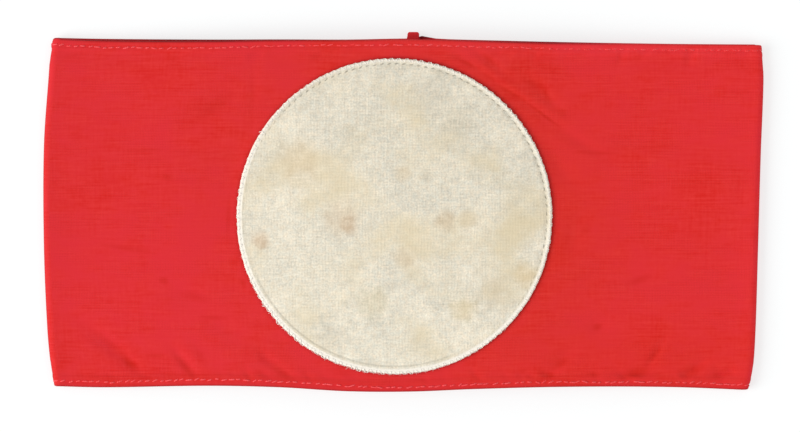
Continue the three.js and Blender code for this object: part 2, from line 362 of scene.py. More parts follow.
# %% The scarlet cloth
def scarlet_cotton(name, contrast=1.0):
    """Ribs along u and thinner threads across: two sines, each nudged by a slow noise. The share
    of pale scarlet, painted sheen and dye, is a half plus the contrast times a weighted sum of the
    noises. A crease's painted shade is a smooth step over the distance from its middle on a long
    thin ellipsoid's scale."""
    cloth = Finish(name, roughness=0.88, sheen=0.04, gloss=0.12)
    place = cloth.node("ShaderNodeUVMap", {"uv_map": "cloth"})
    along, across, _ = cloth.split(place)
    drift = cloth.noise(place, 1.0, squeeze=(0.05, 0.16, 1))
    showing = drift.ramp(0.42, 0.60)
    ribs = (across + drift * 0.9).wave(RIB_PITCH) * showing
    cross = (along + drift * 0.7).wave(CROSS_PITCH) * showing
    slubs = cloth.noise(place, 1.0, 4.0, squeeze=(0.09, 1.7, 1))
    cross_slubs = cloth.noise(place, 1.0, 4.0, squeeze=(1.5, 0.11, 1))
    grain = cloth.noise(place, 0.8, 4.0)
    clouds = cloth.noise(place, 0.22, 4.0, squeeze=(0.8, 1.3, 1))
    dye = cloth.noise(place, 0.035, 4.0)
    # Thicker threads are painted paler, a painted sheen; dye and clouds vary the colour too.
    weave = (slubs - 0.5) * 1.8 + (cross_slubs - 0.5) * 0.9 + (grain - 0.5) * 0.8 + ribs * 0.10
    pale = 0.5 + (weave + (clouds - 0.5) * 0.55 + (dye - 0.5) * 0.8) * contrast
    colour = cloth.mix(pale, SCARLET["deep"], SCARLET["pale"])
    colour = cloth.mix((dye + clouds * 0.5).ramp(0.5, 1.05), colour, SCARLET["rose"])
    spot = cloth.node("ShaderNodeTexCoord", output="Object")
    rightwards, _, _ = cloth.split(spot)
    # Painted light: the cloth is painted paler towards the right.
    colour = cloth.shaded(colour, 1.02 + rightwards * PAINTED_LIGHT_PER_METRE)
    waver = cloth.node("ShaderNodeCombineXYZ", None, {1: (slubs + clouds - 1) * 0.8 * MM})
    wavered = cloth.node("ShaderNodeVectorMath", {"operation": "ADD"}, {0: spot, 1: waver})
    # Painted shade of the fine creases: a darker, purer red along each one.
    crease_shade = 0.0
    for line in CREASE_SHADES:
        centre = (line["x"] * MM, line["y"] * MM, CREASE_LEVEL * MM)
        reach = (line["length"] / 2 * MM, line["width"] * MM, CREASE_REACH * MM)
        inside = cloth.within(wavered, centre, math.radians(line["turn"]), reach).ramp(1.2, 0.0)
        crease_shade = inside * line["depth"] + crease_shade
    colour = cloth.mix(crease_shade, colour, cloth.mix(1.0, colour, CREASE_SHADE_COLOUR, "MULTIPLY"))
    colour = cloth.mix(1.0, colour, cloth.attribute("tint", "Vector"), "MULTIPLY")
    # Each point's share of painted shade and soil darkens it towards that deep red.
    colour = cloth.mix(cloth.attribute("soil_and_shade_share") * (slubs + 0.35), colour, SHADE_AND_SOIL_RED)
    height = ribs * 0.4 + cross * 0.2 + slubs * 0.8 + cross_slubs * 0.4
    return cloth.finish(colour, height, SCARLET_RELIEF)


scarlet = scarlet_cotton("scarlet_cotton")
print("scarlet cotton:", len(scarlet.node_tree.nodes), "nodes")

# %% [markdown]
# ## The band's lines on the table
#
# Two long edges and two folds draw the band as it lies. Each is a short table of real places in
# millimetres, and one smooth curve runs through each column. peek is how far the back layer shows
# past the front's upper edge.

# %% Tables of the edges and folds
LONG_EDGES = table(
    "x upper lower peek",
    (-100,  49.4, -49.6, 0.2),
    ( -85,  49.1, -49.9, 0.6),
    ( -55,  48.9, -49.4, 0.6),
    ( -35, 48.95, -49.8, 0.4),
    ( -16,  48.9, -50.9, 0.4),
    (   2,  49.2, -51.0, 0.5),
    (  20,  48.8, -50.3, 0.5),
    (  45,  48.2, -49.7, 0.5),
    (  75,  47.7, -49.8, 0.3),
    ( 100,  47.5, -50.8, 0.2),
)
END_FOLDS = table(
    "y left right",
    (-51,   -99.0,   97.6),
    (-45,  -100.1,  99.15),
    (-34,  -101.2,  100.0),
    (-10,  -102.2, 100.75),
    ( 18,  -102.2, 101.55),
    ( 38, -100.85,  102.3),
    ( 45,  -100.2,  102.1),
    ( 50,   -98.8,  101.6),
)


def through(rows, column, at):
    """Smooth curve through a table's column over its first one: between two rows, a cubic that
    leaves each row with the slope between that row's two neighbours."""
    knots = np.array([next(iter(row.values())) for row in rows], float)
    values = np.array([row[column] for row in rows], float)
    last = len(rows) - 1
    at = np.clip(at, knots[0], knots[-1])
    i = np.clip(np.searchsorted(knots, at, side="left") - 1, 0, last - 1)
    before = np.maximum(np.arange(last + 1) - 1, 0)
    after = np.minimum(np.arange(last + 1) + 1, last)
    slope = (values[after] - values[before]) / (knots[after] - knots[before])
    span = knots[i + 1] - knots[i]
    t = (at - knots[i]) / span
    ease = t * t * (3 - 2 * t)
    lean = slope[i] * t * (1 - t) ** 2 - slope[i + 1] * t * t * (1 - t)
    return values[i] + (values[i + 1] - values[i]) * ease + lean * span


width = through(LONG_EDGES, "upper", 0.0) - through(LONG_EDGES, "lower", 0.0)
print(f"width in the middle: {width:.1f} mm")

# %% [markdown]
# ## Folds and puckers
#
# Pressed cloth is never quite flat. The patch was sewn on a little tight, so drag folds run along
# its upper right edge, and the hem's thread gathers the cloth into small puckers. Each is a ridge
# or groove: a bell across its line times a bell along it. A cloth simulation would put them where
# it finds them, so they are placed where the photograph shows them. A row of small
# puckers, placed by chance, follows the stitches of each hem. A groove has a negative height.

# %% Table of the folds
PATCH_X, PATCH_Y, PATCH_RADIUS = -2.55, -1.35, 44.7
FOLDS = table(
    "x y turn length width height",
    (   32,  32.3, -33, 30, 0.75, -0.30),
    (   33,  34.0, -33, 25,  1.0,  0.16),
    ( 24.1,  42.7, -36,  9,  0.9,  -0.3),
    ( 39.5,  33.8, -46, 13,  1.5,  -0.3),
    (   20,  41.2, -30,  9,  0.8, -0.28),
    (   50,  19.7, -28, 17,  1.3, -0.28),
    (   45,    12, -50, 12,  2.6, -0.25),
    (-82.5, -38.5, -38, 17,  2.1, -0.55),
    (-77.3, -43.2, -35,  5,  1.1, -0.35),
    (  -62, -42.8, -50,  9,  1.1,  -0.4),
    (-59.3, -41.0, -50,  9,  1.6,  0.25),
    (  -35, -44.2, -37, 10,  1.2, -0.34),
    (  -39, -41.5, -60,  8,  1.6, -0.25),
    (  -62,   -24, -10, 11,  3.2, -0.35),
    (  -50,   -33, -25, 12,  2.6, -0.22),
    (   66, -45.5,  12, 10,  1.1,  -0.6),
    ( 71.5, -40.5,  60,  9,  1.0,  -0.3),
    ( 81.2, -45.6,  33,  7,  1.1,  -0.5),
    ( 84.5, -43.3,  28,  5,  1.0, -0.28),
    (   91, -45.8,  17,  9,  1.2,  -0.5),
    ( 41.6, -46.0,  20,  5,  1.1, -0.45),
    ( 44.5, -42.4,  40,  9,  1.9, -0.28),
    ( 55.2, -32.5,  15,  6,  1.6, -0.32),
    ( 66.5,   -19,  12, 13,  1.9, -0.28),
    ( 48.5,    -7,  70, 11,  3.0,  -0.3),
    (  -54,    30,  30, 19,  3.4, -0.42),
    (-42.4,    34,  88, 15,  1.5, -0.12),
    (  -52,  17.6,   2, 24,  1.8, -0.22),
    (   70,    20,  -4, 34,  3.0, -0.22),
)
HEM_PUCKERS = 46
PUCKER_LINES = {-46.4: -1, 44.4: 1}
for edge, past in PUCKER_LINES.items():
    for x in np.linspace(-96, 97, HEM_PUCKERS):
        FOLDS.append({
            "x": x + chance.normal(0, 1.3),
            "y": edge + chance.normal(0, 0.5),
            "turn": past * chance.normal(42, 26),
            "length": chance.uniform(3.0, 6.0),
            "width": chance.uniform(0.5, 1.0),
            "height": chance.normal(-0.04, 0.13),
        })
print(len(FOLDS), "folds, the highest", round(max(fold["height"] for fold in FOLDS), 2), "mm")


# %% Bells, steps and the sum of the folds
def bell(t):
    """e to the power of minus t squared."""
    return np.exp(-t * t)


def smoothstep(low, high, at):
    """0 up to low, 1 from high, and 3t^2 - 2t^3 between."""
    t = np.clip((at - low) / (high - low), 0, 1)
    return t * t * (3 - 2 * t)


def toward(x, y, turn):
    """Distance in a direction: x times the cosine of its turn plus y times the sine."""
    return x * math.cos(turn) + y * math.sin(turn)


def folds_at(folds, x, y):
    """Sum over the folds of height times a bell across the fold's line and one along it."""
    total = np.zeros(np.broadcast(x, y).shape)
    for fold in folds:
        turn = math.radians(fold["turn"])
        dx, dy = x - fold["x"], y - fold["y"]
        along = toward(dx, dy, turn)
        across = toward(dx, dy, turn + math.pi / 2)
        total += fold["height"] * bell(2 * along / fold["length"]) * bell(across / fold["width"])
    return total


print("half as high at", round(math.sqrt(math.log(2)), 2), "of a bell's width")

# %% [markdown]
# ## The front layer's height
#
# The two folds spring the layers apart, so the front stands in a flat arch over the back. Its
# height at a share u of the way from the middle to a fold is (1 - |u|^2.4)^1.4. Outside the patch,
# whose stitches hold the cloth flat, the folds above are added, and a slow unevenness of two
# crossing sines. Both die out before the curl at each end.

# %% Height of the front
FOLD_RADIUS = 1.9
ARCH = 5.0
UNEVENNESS = 0.10


def fold_centres(y):
    """x of the centres of the left and the right fold's curl, on the line at height y."""
    left = through(END_FOLDS, "left", y) + FOLD_RADIUS
    right = through(END_FOLDS, "right", y) - FOLD_RADIUS
    return left, right


def front_height(u, x, y):
    """Arch over the share u from fold to fold, plus folds and unevenness outside the patch."""
    arch = (1 - np.minimum(np.abs(u), 1) ** 2.4) ** 1.4
    from_patch = np.hypot(x - PATCH_X, y - PATCH_Y) - PATCH_RADIUS
    slow = np.sin(x / 8.3 + y / 17.0) * np.sin(y / 9.1 - x / 23.0 + 1.3)
    calm = smoothstep(0, 4, from_patch) * smoothstep(1, 0.93, np.abs(u))
    return 2 * FOLD_RADIUS + ARCH * arch + calm * (folds_at(FOLDS, x, y) + UNEVENNESS * slow)


def front_at(x, y):
    """The front's upper face at any place, for what is sewn onto it."""
    left, right = fold_centres(y)
    return front_height((2 * x - left - right) / (right - left), x, y)


print(f"the front stands {front_at(0.0, 0.0):.1f} mm above the table in the middle")

# %% [markdown]
# ## The hem's section
#
# Each long edge is turned in twice and stitched, so it is round, more than twice as thick as the
# cloth, and ends inside in a second small fold. Seen across the band the wall is two curves
# over the distance e from the edge: how deep the outer skin lies under its plain surface, and how
# deep the inner one does. Both start at the same depth on the round rim, dip where the stitches
# pull, and step back to a single layer past the hem.

# %% Rows of the hem
CLOTH = 0.55
HEM_THICKNESS = 1.4
RIM_WIDTH = 0.4
HEM_WIDTH = 3.1
HEM_DROP = 0.12
STITCH_LINES = {"lower": 1.4, "upper": 1.8}
STITCH_DIP, DIP_WIDTH = 0.14, 0.32
HEM_FOLD = 0.4
LAST_HEM_ROW = 7.0

rim_turn = np.radians([0, 18, 36, 54, 72, 90])
rim_rows = RIM_WIDTH * (1 - np.cos(rim_turn))
hem_rows = [0.65, 0.95, 1.2, 1.4, 1.6, 1.8, 2.0, 2.3, 2.6, 2.7, 2.9, 3.02, 3.08, HEM_WIDTH]
past_rows = [3.2, 3.5, 3.9, 4.5, 5.2, 6.0, LAST_HEM_ROW]
hem_e = np.concatenate([rim_rows, hem_rows, past_rows])


def rim_depth(e):
    """Quarter ellipse: half the hem's thickness at the edge, nothing one rim width from it."""
    return HEM_THICKNESS / 2 * (1 - np.sqrt(1 - np.maximum(1 - e / RIM_WIDTH, 0) ** 2))


def stitch_dip(e, line):
    """A bell-shaped groove along the line of stitches."""
    return STITCH_DIP * bell((e - line) / DIP_WIDTH)


def outer_depth(e, line):
    """The rim, the dip at the stitches and a slight drop past the hem, where it is thinner."""
    past = smoothstep(HEM_WIDTH - 0.3, HEM_WIDTH + 0.5, e)
    drop = HEM_DROP * past * bell(np.maximum(e - HEM_WIDTH, 0) / 4)
    return rim_depth(e) + stitch_dip(e, line) + drop


def inner_depth(e, line):
    """The rim and dip from the inside, then the hem's thickness, ending in a quarter circle."""
    round_off = np.clip((e - HEM_WIDTH + HEM_FOLD) / HEM_FOLD, 0, 1)
    layers = CLOTH + (HEM_THICKNESS - CLOTH) * np.sqrt(1 - round_off**2)
    return layers - rim_depth(e) - stitch_dip(e, line) + outer_depth(e, line) * (e > HEM_WIDTH)


print("rows over each hem:", len(hem_e))

# %% [markdown]
# ## The band itself
#
# The loop is one grid. Its columns run round the loop: along the front, round the right fold, back
# underneath and round the left fold. Its rows run across, close together over the hems and
# further apart towards the middle. The same grid is laid twice, as the outer and the inner skin,
# and the two share their rim rows, which makes the wall a closed body. A flat strip could be bent
# by modifiers too, but then no formula would say where each edge lies, and here the tables do.

# %% Rows and columns of the band
FRONT_COLUMNS, FOLD_COLUMNS, BACK_COLUMNS = 262, 10, 50
MIDDLE_ROWS = 84
SEAM_X = 0.9
UPPER_EDGE, LOWER_EDGE = 49, -50
FAR_FROM_EDGE = 50.0

even = np.linspace(-1, 1, MIDDLE_ROWS + 1)[1:-1]
share = 0.5 + 0.5 * (1.25 * even - 0.25 * even**3)
row_share = np.concatenate([np.zeros_like(hem_e), share, np.ones_like(hem_e)])
row_offset = np.concatenate([hem_e, LAST_HEM_ROW * (1 - 2 * share), -hem_e[::-1]])
row_e = np.concatenate([hem_e, np.full_like(share, FAR_FROM_EDGE), hem_e[::-1]])
front_u = np.linspace(-1, 1, FRONT_COLUMNS, endpoint=False)
near_seam = SEAM_X / 100 + np.linspace(-0.008, 0.008, 9)
back_u = np.linspace(-1, 1, BACK_COLUMNS, endpoint=False) + 2 / BACK_COLUMNS
back_u = np.sort(np.append(back_u, near_seam))
right_turn = math.pi * (0.5 - np.arange(FOLD_COLUMNS) / FOLD_COLUMNS)
left_turn = -math.pi * (0.5 + np.arange(FOLD_COLUMNS) / FOLD_COLUMNS)
print(len(row_e), "rows and", len(front_u) + len(back_u) + 2 * FOLD_COLUMNS, "columns")

# %% [markdown]
# The outer skin and the direction into the wall are worked out for all rows and columns at once.
# The back layer is flat on the table, apart from a narrow groove where the two ends of the strip
# are seamed together, and its edge shows a little more past the front beside the seam's end. The
# thick hem makes the left fold stand out a little at its upper corner.

# %% Points of the band
SEAM_GROOVE, GROOVE_WIDTH = 0.28, 0.3
CORNER_STAND = 0.35
SEAM_RISE = {"x": 4.4, "height": 0.8, "reach": 3.4}


def row_places(x, layer):
    """y of every row at x: between the two long edges, by each row's share and offset."""
    lower = through(LONG_EDGES, "lower", x)
    upper = through(LONG_EDGES, "upper", x)
    if layer == "front":
        upper = upper - through(LONG_EDGES, "peek", x)
    else:
        past = np.maximum(x - SEAM_RISE["x"], 0) / SEAM_RISE["reach"]
        before = np.maximum(SEAM_RISE["x"] - x, 0)
        upper = upper + SEAM_RISE["height"] * bell(past) * bell(before)
    return lower + (upper - lower) * row_share[:, None] + row_offset[:, None]


def band_skin():
    """Outer points and inward directions of the loop, as arrays of rows, columns and xyz."""
    straight = LOWER_EDGE + (UPPER_EDGE - LOWER_EDGE) * row_share + row_offset
    left, right = (side[:, None] for side in fold_centres(straight))
    parts = []
    x = left + (right - left) * (front_u + 1) / 2
    y = row_places(x, "front")
    parts.append([x, y, front_height(front_u, x, y), 0 * x, 0 * x - 1])
    in_upper_hem = (row_share == 1) * smoothstep(HEM_WIDTH, HEM_WIDTH - 0.9, row_e)
    stand = CORNER_STAND * in_upper_hem[:, None]
    for centre, turn, wider in ((right, right_turn, 0), (left, left_turn, stand)):
        x = centre + (FOLD_RADIUS + wider) * np.cos(turn)
        y = row_places(centre + 0 * turn, "front" if centre is right else "back")
        z = FOLD_RADIUS + FOLD_RADIUS * np.sin(turn) + 0 * x
        parts.append([x, y, z, -np.cos(turn) + 0 * x, -np.sin(turn) + 0 * x])
    u = back_u[::-1]
    x = left + (right - left) * (u + 1) / 2
    groove = SEAM_GROOVE * bell((x - SEAM_X) / GROOVE_WIDTH)
    parts.insert(2, [x, row_places(x, "back"), groove, 0 * x, 0 * x + 1])
    x, y, z, in_x, in_z = (np.hstack(columns) for columns in zip(*parts))
    return np.dstack([x, y, z]), np.dstack([in_x, 0 * x, in_z])


skin, inward = band_skin()
row_line = np.where(row_share == 1, STITCH_LINES["upper"], STITCH_LINES["lower"])
outer = skin + inward * outer_depth(row_e, row_line)[:, None, None]
inner = skin + inward * inner_depth(row_e, row_line)[:, None, None]
print("band grid:", outer.shape)

# %% [markdown]
# ## From a matrix of point numbers to a mesh
#
# Any grid surface is a matrix that says which point sits at each row and column. Its faces join
# neighbours, and a closed ring can be capped by joining points across it. Blender takes the whole
# arrays at once. Each corner gets its cloth coordinates, and where the band comes round to its
# start, the coordinates run on past the whole length and don't jump back.

# %% Mesh helpers
SIDES = 6


def quads(index, closed=False):
    """Faces between neighbouring rows and columns of a matrix of point numbers."""
    if closed:
        index = np.hstack([index, index[:, :1]])
    corners = [index[:-1, :-1], index[:-1, 1:], index[1:, 1:], index[1:, :-1]]
    return np.stack(corners, axis=-1).reshape(-1, 4)


def cap(ring):
    """Faces that close a ring with an even number of points, joined in pairs across it."""
    n = ring.shape[-1]
    i = np.arange(n // 2 - 1)
    corners = [ring[..., i], ring[..., i + 1], ring[..., n - 2 - i], ring[..., n - 1 - i]]
    return np.stack(corners, axis=-1).reshape(-1, 4)


def closed_body(index):
    """Faces of a grid that is closed round its columns, with a cap on its first and last row."""
    return np.concatenate([quads(index, True), cap(index[-1]), cap(index[0])[:, ::-1]])


def point_numbers(grid):
    """The number of the point at each row and column of a grid."""
    return np.arange(grid[..., 0].size).reshape(grid.shape[:2])


def reach_round(ring):
    """Distance along a closed ring to each of its points, and last the whole way round."""
    steps = np.linalg.norm(np.roll(ring, -1, axis=0) - ring, axis=1)
    return np.concatenate([[0], np.cumsum(steps)])


def put_piece(name, material, points, faces, places, lap=0.0, soil_and_shade=None, tint=None):
    """Make a smooth mesh object from points in millimetres and cloth places for its UV map. lap is
    the length round a closed piece, and each point's share of painted shade and soil, and its tint,
    are kept for its finish."""
    mesh = bpy.data.meshes.new(name)
    mesh.materials.append(material)
    mesh.vertices.add(len(points))
    mesh.vertices.foreach_set("co", (np.asarray(points) * MM).ravel())
    mesh.loops.add(faces.size)
    mesh.loops.foreach_set("vertex_index", faces.ravel())
    mesh.polygons.add(len(faces))
    mesh.polygons.foreach_set("loop_start", np.arange(0, faces.size, 4))
    mesh.update(calc_edges=True)
    mesh.polygons.foreach_set("use_smooth", np.ones(len(faces), bool))
    corner = np.asarray(places)[faces]
    if lap:
        wrapped = np.ptp(corner[..., 0], axis=1) > lap / 2
        corner[..., 0] += lap * (wrapped[:, None] & (corner[..., 0] < lap / 2))
    mesh.uv_layers.new(name="cloth").data.foreach_set("uv", corner.ravel())
    if soil_and_shade is not None:
        mesh.attributes.new("soil_and_shade_share", "FLOAT", "POINT").data.foreach_set("value", soil_and_shade)
    if tint is not None:
        values = mesh.attributes.new("tint", "FLOAT_VECTOR", "POINT").data
        values.foreach_set("vector", np.ravel(tint))
    piece = bpy.data.objects.new(name, mesh)
    bpy.context.scene.collection.objects.link(piece)
    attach(piece, "root")
    print(f"{name}: {len(points)} points, {2 * len(faces)} triangles")
    return piece


print("a ring of", SIDES, "points is capped by", len(cap(np.arange(SIDES))), "faces")

# %% Mesh of the band
rows, columns = outer.shape[:2]
outer_index = point_numbers(outer)
inner_index = outer_index + rows * columns
inner_index[[0, -1]] = outer_index[[0, -1]]
used = np.unique(np.concatenate([outer_index.ravel(), inner_index.ravel()]))
renumber = np.zeros(2 * rows * columns, int)
renumber[used] = np.arange(len(used))
band_points = np.concatenate([outer.reshape(-1, 3), inner.reshape(-1, 3)])[used]
band_faces = renumber[np.concatenate([quads(outer_index, True), quads(inner_index, True)[:, ::-1]])]

*run, girth = reach_round(skin[rows // 2])
band_places = np.dstack([np.broadcast_to(run, (rows, columns)), outer[..., 1]]).reshape(-1, 2)
band_places = np.concatenate([band_places] * 2)[used]
print(f"girth of the loop {girth:.0f} mm")

# %% [markdown]
# ## Painted shade and light on the band
#
# Marks at known places make the cloth's colour darker or paler. Most are painted shade: a dark
# line on the rims and at the folds, partly painted shade and partly dirt, a painted contact shadow
# just outside the patch's edge, painted shade in the gap beside the seam's end, and painted shade
# of the stitches along the lower hem. The cloth is also a deeper red round the patch, most at its
# upper right, and the upper hem and the folds, most the right one, are painted paler, which is
# painted light. A mark is a bell over a distance, or at a fold an S-curve over how far the cloth
# has turned. It could be painted on by hand, but a bell can be read, moved and made weaker. A tint
# multiplies the three colours apart, so a mark can change blue more than red. In the table of the
# hems, rim, the lower hem's shade and pale are the strength of those marks at x, lower and upper
# say how well each hem's stitches show, and the two columns of aside say how many millimetres they
# stray from their line. The three colours of a mark are what it adds to the tint in red, green
# and blue.

# %% Tables of the marks
HEM_LOOKS = table(
    "x rim grime pale lower upper lower_aside upper_aside",
    (-98, 0.60, 0.4, 0.2, 0.65, 0.70,  0.2, -0.1),
    (-84, 0.75, 0.6, 0.2, 0.65, 0.70,  0.2, -0.1),
    (-55, 1.05, 1.1, 0.1, 0.90, 0.40,  0.4, -0.2),
    (-25, 0.65, 1.0, 0.0, 1.00, 0.30,  0.2,  0.3),
    (  5, 0.20, 0.5, 0.3, 0.85, 0.40, -0.1,  0.2),
    ( 40, 0.90, 0.4, 0.6, 0.60, 0.25,  0.1,  0.2),
    ( 62, 0.20, 0.3, 1.0, 0.65, 0.20, -0.1,  0.3),
    ( 98, 0.10, 0.3, 1.1, 0.45, 0.10,  0.0,  0.3),
)
# The first broad tint is painted shade above the lower hem at the right; the other two shift the blue.
BROAD_TINTS_AND_SHADE = table(
    "x y reach_x reach_y colours",
    ( 75, -43, 42,  9, (-0.02, -0.05, -0.23)),
    ( 62,   0, 45, 60,     (0.0, 0.0, -0.09)),
    (-75, -28, 32, 20,     (0.02, 0.0, 0.06)),
)
ROUND_PATCH = {"reach": 17.0, "heading": math.radians(35), "colours": (-0.055, 0.02, -0.20)}
# What each mark adds to the tint: painted shade along the lower hem, painted light on the upper hem and
# on the folds.
MARK_COLOURS = {
    "grime": (-0.06, -0.10, -0.20),
    "pale": (0.05, 0.20, 0.36),
    "left_fold": (0.01, 0.0, 0.02),
    "right_fold": (0.15, 0.02, 0.14),
}
# Painted shade in the gap beside the seam's end.
SEAM_GAP_SHADE = {"x": 5.4, "y": 50.2, "reach_x": 1.3, "reach_y": 1.2, "soil_and_shade": 1.8}
# Strength of the painted shade, with some soil, on the lower rim and at the folds, and of the painted
# contact shadow at the patch's edge.
LOWER_RIM, FOLD_SHADE_AND_SOIL, PATCH_CONTACT_SHADE = 0.65, 0.35, 0.32
print("the hems change their looks at", len(HEM_LOOKS), "places")


# %% Painted shade and soil of each point
def oval_mark(row, x, y):
    """A bell over x times a bell over y, each over its own reach."""
    return bell((x - row["x"]) / row["reach_x"]) * bell((y - row["y"]) / row["reach_y"])


x, y, z = np.moveaxis(outer, 2, 0)
on_front = z > 2 * FOLD_RADIUS - 0.3
upper_hem, lower_hem = ((row_share == share_end)[:, None] for share_end in (1, 0))
off_patch = np.hypot(x - PATCH_X, y - PATCH_Y) - PATCH_RADIUS
# Painted shade, with some soil, on the curl of each fold.
fold_shade_and_soil = FOLD_SHADE_AND_SOIL * smoothstep(0.8, 0.97, np.abs(inward[..., 0]))
# Painted shade, with some soil, along the rims of both hems.
rim_shade_and_soil = np.where(upper_hem, through(HEM_LOOKS, "rim", x), LOWER_RIM)
rim_shade_and_soil *= bell(row_e / 0.45)[:, None]
# Painted contact shadow just outside the patch's edge.
patch_contact_shade = PATCH_CONTACT_SHADE * bell((off_patch - 0.1) / 0.5) * on_front
# Painted shade in the gap beside the seam's end, on the back layer.
seam_gap_shade = SEAM_GAP_SHADE["soil_and_shade"] * oval_mark(SEAM_GAP_SHADE, x, y) * (z < FOLD_RADIUS)
# The strongest of these painted shades and soil at each point.
soil_and_shade = np.max([fold_shade_and_soil, rim_shade_and_soil, patch_contact_shade, seam_gap_shade], axis=0).ravel()
print(f"the most worn point has {soil_and_shade.max():.2f}")

# %% Tint of each point: painted shade and light, and hue
# A deeper red round the patch, most at its upper right.
from_patch = np.arctan2(y - PATCH_Y, x - PATCH_X) - ROUND_PATCH["heading"]
round_patch = bell(np.maximum(off_patch, 0) / ROUND_PATCH["reach"]) * (0.6 + 0.35 * np.cos(from_patch))
# Painted light on both folds, most on the right one.
left_fold, right_fold = (smoothstep(0.12, 0.5, way * inward[..., 0]) for way in (1, -1))
# Painted shade of the stitches along the lower hem.
grime = through(HEM_LOOKS, "grime", x) * bell((row_e[:, None] - 2.5) / 0.9) * lower_hem
# Painted light along the upper hem, most at the right.
pale = through(HEM_LOOKS, "pale", x) * bell((row_e[:, None] - 1.5) / 1.7) * upper_hem
marks = [
    (round_patch * on_front, ROUND_PATCH["colours"]),
    (grime, MARK_COLOURS["grime"]),
    (pale, MARK_COLOURS["pale"]),
    (left_fold, MARK_COLOURS["left_fold"]),
    (right_fold, MARK_COLOURS["right_fold"]),
]
marks += [(oval_mark(row, x, y) * on_front, row["colours"]) for row in BROAD_TINTS_AND_SHADE]
tint = 1 + sum(mark[..., None] * np.array(colours) for mark, colours in marks)
print("tint from", tint.min(axis=(0, 1)).round(2), "to", tint.max(axis=(0, 1)).round(2))

# %% The band's piece
soil_and_shade = np.concatenate([soil_and_shade] * 2)[used]
tint = np.concatenate([tint.reshape(-1, 3)] * 2)[used]
band = put_piece("band_cloth", scarlet, band_points, band_faces, band_places, girth, soil_and_shade, tint)
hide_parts("band")

# %% [markdown]
# ## Thread
#
# Sewing thread is two or three yarns twisted together. A stitch is a round tube along a short
# curve. It could be a curve object with a round bevel, but here hundreds are worked out at once:
# every path point carries a ring of six points, and the ring shrinks at both ends. The twist is a
# bump of slanted stripes, which needs the distance along the thread and round it as the UV map.

# %% Threads swept along many paths
END_TAPERS = (0.45, 0.85)


def unit(vectors):
    """Each vector divided by its length."""
    return vectors / np.linalg.norm(vectors, axis=-1, keepdims=True)


def sweep(paths, radius, up):
    """Tubes round an array of paths (count, points, xyz): at each point a ring in the plane of
    the side direction, up x tangent, and the lift direction, tangent x side."""
    count, points, _ = paths.shape
    tangent = unit(np.gradient(paths, axis=1))
    side = unit(np.cross(np.broadcast_to(up, paths.shape), tangent))
    lift = np.cross(tangent, side)
    angle = 2 * math.pi * np.arange(SIDES) / SIDES
    taper = np.ones(points)
    for k, share in enumerate(END_TAPERS):
        taper[[k, -1 - k]] = share
    ring = np.cos(angle)[:, None] * side[:, :, None] + np.sin(angle)[:, None] * lift[:, :, None]
    tube = paths[:, :, None] + radius * taper[None, :, None, None] * ring
    index = np.arange(points * SIDES).reshape(points, SIDES)
    faces = np.arange(count)[:, None, None] * points * SIDES + closed_body(index)
    length = np.cumsum(np.linalg.norm(np.diff(paths, axis=1, prepend=paths[:, :1]), axis=2), axis=1)
    around = np.broadcast_to(angle / (2 * math.pi), (count, points, SIDES))
    places = np.stack([np.broadcast_to(length[..., None], around.shape), around], axis=-1)
    return tube.reshape(-1, 3), faces.reshape(-1, 4), places.reshape(-1, 2)


print("a thread's ends shrink to", END_TAPERS[0], "of its radius")

# %% [markdown]
# A thread's finish is its dye, painted darker in the grooves between the twisted yarns, which is
# painted shade, and dulled where it is soiled or lies deep in the cloth.

# %% Thread finish
TWIST_PITCH = 0.55
THREAD_RELIEF = 0.04 * MM


def thread_finish(name, colour, soiled):
    """Slanted stripes: a sine of the distance along the thread plus the turn round it."""
    yarn = Finish(name, roughness=0.7, sheen=0.25)
    place = yarn.node("ShaderNodeUVMap", {"uv_map": "cloth"})
    along, around, _ = yarn.split(place)
    twist = (along / TWIST_PITCH + around).wave(1.0)
    dye = yarn.noise(yarn.node("ShaderNodeTexCoord", output="Object"), 350.0)
    colour = yarn.mix(yarn.attribute("soil_and_shade_share"), colour, soiled)
    # The twist's grooves are painted shade; the dye noise varies the colour.
    colour = yarn.shaded(colour, 0.94 + twist * 0.06 + (dye - 0.5) * 0.2)
    return yarn.finish(colour, twist, THREAD_RELIEF)


red_thread = thread_finish("red_thread", (0.95, 0.080, 0.093, 1), (0.84, 0.030, 0.034, 1))
white_thread = thread_finish("white_thread", (0.90, 0.855, 0.775, 1), (0.62, 0.50, 0.36, 1))
print("threads:", red_thread.name, white_thread.name)

# %% [markdown]
# ## Hem stitches
#
# A lockstitch shows a short dash on each face of the cloth, a little slanted, with its ends pulled
# into the cloth. The hem's stitch line is one row of the band's grid, so the stitches run round
# the whole loop, outside and inside, and follow every fold. A dash is a flat arc: its middle
# stands proud of the cloth by its own thickness and its ends sink in. The machine ran unevenly, so
# the hem's table says where the thread shows well, where it sank in, and how far it strays.

# %% Sizes of the stitches
STITCH_PITCH = 2.0
STITCH_LENGTH = 1.7
THREAD_RADIUS = 0.18
DASH_POINTS = 7
SLANTS = {"lower": 12, "upper": 4}
UNEVEN_STITCH = {"along": 0.24, "across": 0.09, "length": 0.2, "slant": 9, "sunk": 0.16}
print("a stitch is", STITCH_LENGTH, "mm long and has", DASH_POINTS, "rings")


# %% Stitches along a row of the grid
def along_ring(ring, reach, at):
    """Values of a closed ring of points at distances along it, by straight interpolation."""
    ring = np.vstack([ring, ring[:1]])
    return np.stack([np.interp(at, reach, ring[:, k]) for k in range(3)], axis=-1)


def stray(column, *shape):
    """Chance with the spread that UNEVEN_STITCH gives."""
    return chance.normal(0, UNEVEN_STITCH[column], shape)


